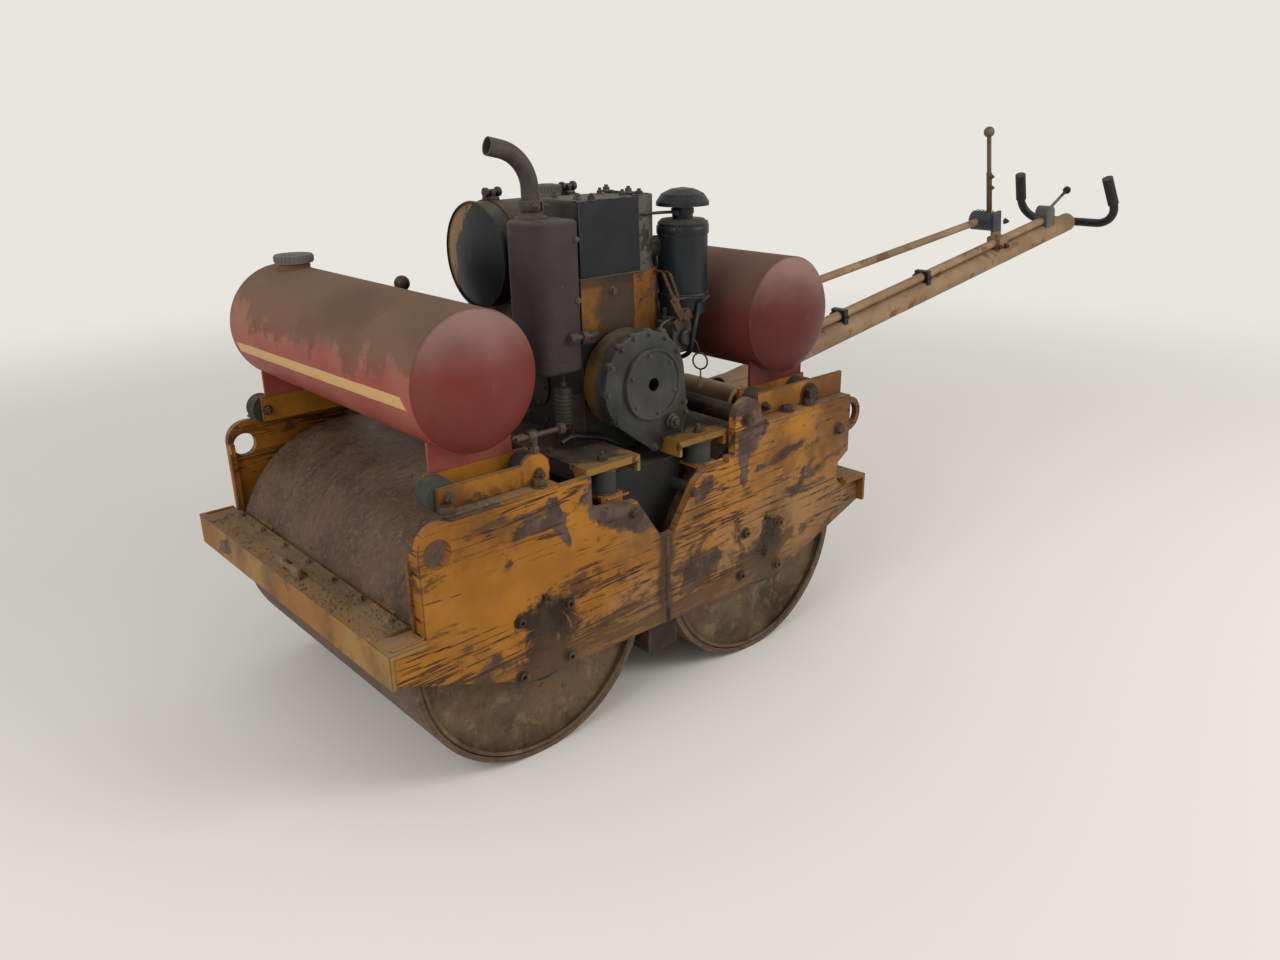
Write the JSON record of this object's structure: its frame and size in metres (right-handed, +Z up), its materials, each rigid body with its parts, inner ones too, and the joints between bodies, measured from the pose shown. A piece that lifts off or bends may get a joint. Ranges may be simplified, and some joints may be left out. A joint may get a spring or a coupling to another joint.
{
  "type": "walk-behind double-drum road roller",
  "caption": "Walk-behind road roller with smooth drums under a side-plate frame, cross water tanks, an open diesel engine and a long hinged drawbar with handlebar and levers.",
  "frame": {"origin": "on the ground, below the middle of the overall length, drawbar included, and half way between the sides", "axes": "+X towards the front bumper, +Y to the machine's left, +Z up"},
  "size_m": [3.4162, 0.976, 1.3024],
  "materials": {
    "frame_paint": "worn ochre-yellow machine paint, chipped and scratched",
    "tank_paint": "faded dusty red paint",
    "drum_steel": "rolled steel, dull brown with dirt and rust",
    "worn_steel": "bare steel with rust and grease",
    "engine_iron": "dark oily cast iron",
    "engine_alloy": "dull cast alloy with oil stains",
    "exhaust_steel": "heat-browned steel",
    "black_paint": "satin black paint with dust",
    "bar_paint": "tan paint, rusty where worn",
    "mount_rubber": "dull grey-green rubber",
    "grip_rubber": "black rubber",
    "cap_plastic": "dusty grey moulded plastic"
  },
  "bodies": {
    "frame": {"side_plate_front_left": "frame_paint", "side_plate_front_right": "frame_paint", "side_plate_rear_left": "frame_paint", "side_plate_rear_right": "frame_paint", "bumpers": "frame_paint", "bumper_scrapers": "worn_steel", "centre_beam": "frame_paint", "centre_scrapers": "worn_steel", "cross_shafts": "worn_steel", "drum_bearings": "engine_iron", "gear_housing": "engine_iron", "engine_brackets": "frame_paint", "engine_mounts": "mount_rubber", "engine_rails": "frame_paint", "crankcase": "engine_iron", "bell_plate": "frame_paint", "gear_cover": "engine_iron", "cylinder_cowl": "frame_paint", "cylinder_head": "engine_iron", "rocker_cover": "engine_alloy", "fan_housing": "engine_iron", "belt_guard": "frame_paint", "muffler": "exhaust_steel", "exhaust_pipe": "exhaust_steel", "air_filter": "black_paint", "fuel_tank": "black_paint", "fuel_cap": "cap_plastic", "fuel_straps": "worn_steel", "water_tank_front": "tank_paint", "water_tank_rear": "tank_paint", "water_caps": "cap_plastic", "cradle_angles": "frame_paint", "cradle_buffers": "mount_rubber", "cradle_bars": "frame_paint", "selector_lever": "worn_steel"},
    "front_drum": {"front_drum_shell": "drum_steel"},
    "rear_drum": {"rear_drum_shell": "drum_steel"},
    "drawbar": {"drawbar_root": "bar_paint", "drawbar_tube": "bar_paint", "handlebar": "black_paint", "grips": "grip_rubber", "conduit": "bar_paint", "conduit_clips": "worn_steel", "lever_hub": "black_paint", "travel_lever": "worn_steel", "shift_linkage": "worn_steel", "throttle": "worn_steel"}
  },
  "joints": [
    {"name": "front_drum_spin", "type": "hinge", "parent": "frame", "child": "front_drum", "pos_m": [1.33387, 0, 0.3], "axis": [0, 1, 0], "continuous": true},
    {"name": "rear_drum_spin", "type": "hinge", "parent": "frame", "child": "rear_drum", "pos_m": [0.64987, 0, 0.3], "axis": [0, 1, 0], "continuous": true},
    {"name": "drawbar_lift", "type": "hinge", "parent": "frame", "child": "drawbar", "pos_m": [0.37787, 0, 0.559], "axis": [0, 1, 0], "range_deg": [0, 55]}
  ]
}
